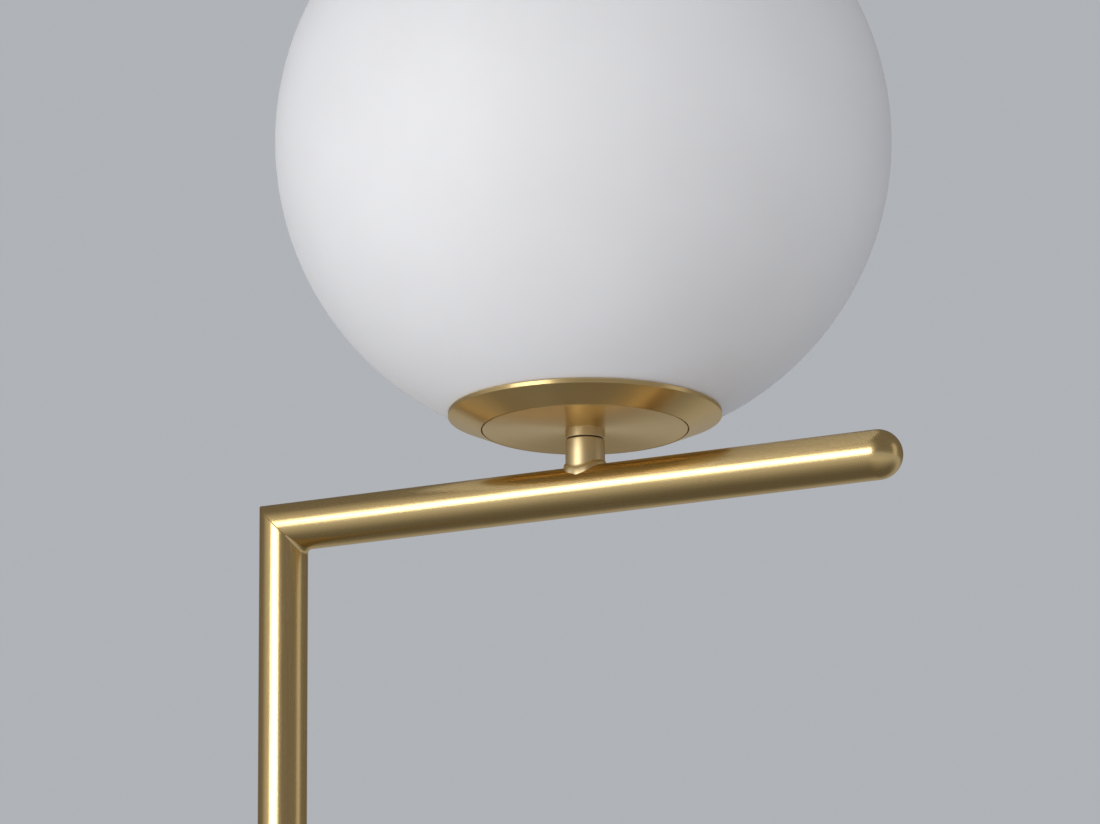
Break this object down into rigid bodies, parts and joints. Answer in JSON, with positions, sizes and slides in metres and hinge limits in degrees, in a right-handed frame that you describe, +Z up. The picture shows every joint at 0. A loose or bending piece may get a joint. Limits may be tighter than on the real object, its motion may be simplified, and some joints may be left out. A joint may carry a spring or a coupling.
{
  "type": "globe floor lamp",
  "caption": "Floor lamp: matt white glass globe on a brushed brass dish, held by a horizontal tube arm on an upright stem near the edge of a round base.",
  "frame": {"origin": "on the floor, at the centre of the round base, which is also on the axis of the neck, globe and bulb", "axes": "+Z up; +X along the arm, from the stem towards the arm's tip; +Y to the side of the cord inlet"},
  "size_m": [0.3699, 0.37, 1.8496],
  "materials": {
    "satin_brass": "satin, brushed along the tube and in rings on turned faces",
    "opal_glass": "matt white opal",
    "clear_glass": "clear",
    "plated_steel": "zinc plated",
    "grey_iron": "as cast and primed",
    "black_rubber": "matt",
    "clear_silicone": "matt, translucent",
    "nylon": "matt natural white",
    "dark_fibre": "matt dark",
    "black_phenolic": "moulded, half gloss",
    "steatite": "matt",
    "contact_brass": "plain",
    "cap_metal": "rolled",
    "black_glass": "gloss black",
    "filament_yellow": "matt phosphor coat",
    "flex_sheath": "smooth white"
  },
  "bodies": {
    "stand": {"base_foot_ring": "black_rubber", "base_bottom_plate": "plated_steel", "bottom_plate_screws": "plated_steel", "base_weight": "grey_iron", "base_cover": "satin_brass", "cord_inlet_bush": "black_phenolic", "terminal_block": "nylon", "terminal_screws": "contact_brass", "block_fixing_screws": "plated_steel", "stem_foot_plug": "plated_steel", "stem_fixing_screws": "plated_steel", "stem_lower_tube": "satin_brass", "stem_joint_stud": "contact_brass", "stem_joint_socket": "contact_brass", "stem_upper_tube": "satin_brass", "arm_tube": "satin_brass", "arm_end_cap": "satin_brass", "neck_boss": "contact_brass", "neck_lower_collar": "satin_brass", "neck_seam_washer": "dark_fibre", "neck_upper_collar": "satin_brass", "neck_nipple": "plated_steel", "disc_plate": "satin_brass", "bayonet_spacer": "plated_steel", "bayonet_plate": "plated_steel", "bayonet_stop_pins": "plated_steel", "head_washer": "plated_steel", "head_lock_nut": "plated_steel", "holder_cap": "black_phenolic", "holder_insert": "steatite", "holder_barrel": "black_phenolic", "holder_screw_shell": "contact_brass", "holder_centre_contact": "contact_brass", "holder_terminal_screws": "contact_brass", "internal_flex": "flex_sheath"},
    "glide": {"glide_ring": "nylon"},
    "globe": {"dish_ring": "satin_brass", "globe_gasket": "clear_silicone", "glass_globe": "opal_glass", "clamp_gasket": "clear_silicone", "clamp_ring": "plated_steel", "clamp_screws": "plated_steel"},
    "bulb": {"bulb_glass": "clear_glass", "bulb_cap": "cap_metal", "bulb_cap_insulator": "black_glass", "bulb_contact": "cap_metal", "bulb_stem": "clear_glass", "bulb_filaments": "filament_yellow"}
  },
  "joints": [
    {"name": "globe_twist", "type": "hinge", "parent": "stand", "child": "glide", "pos_m": [0, 0, 1.5566], "axis": [0, 0, 1], "range_deg": [0, 60]},
    {"name": "globe_lift", "type": "slide", "parent": "glide", "child": "globe", "axis": [0, 0, 1], "range_m": [0, 0.16]},
    {"name": "bulb_turn", "type": "hinge", "parent": "stand", "child": "bulb", "pos_m": [0, 0, 1.6], "axis": [0, 0, 1], "range_deg": [0, 1080]}
  ]
}
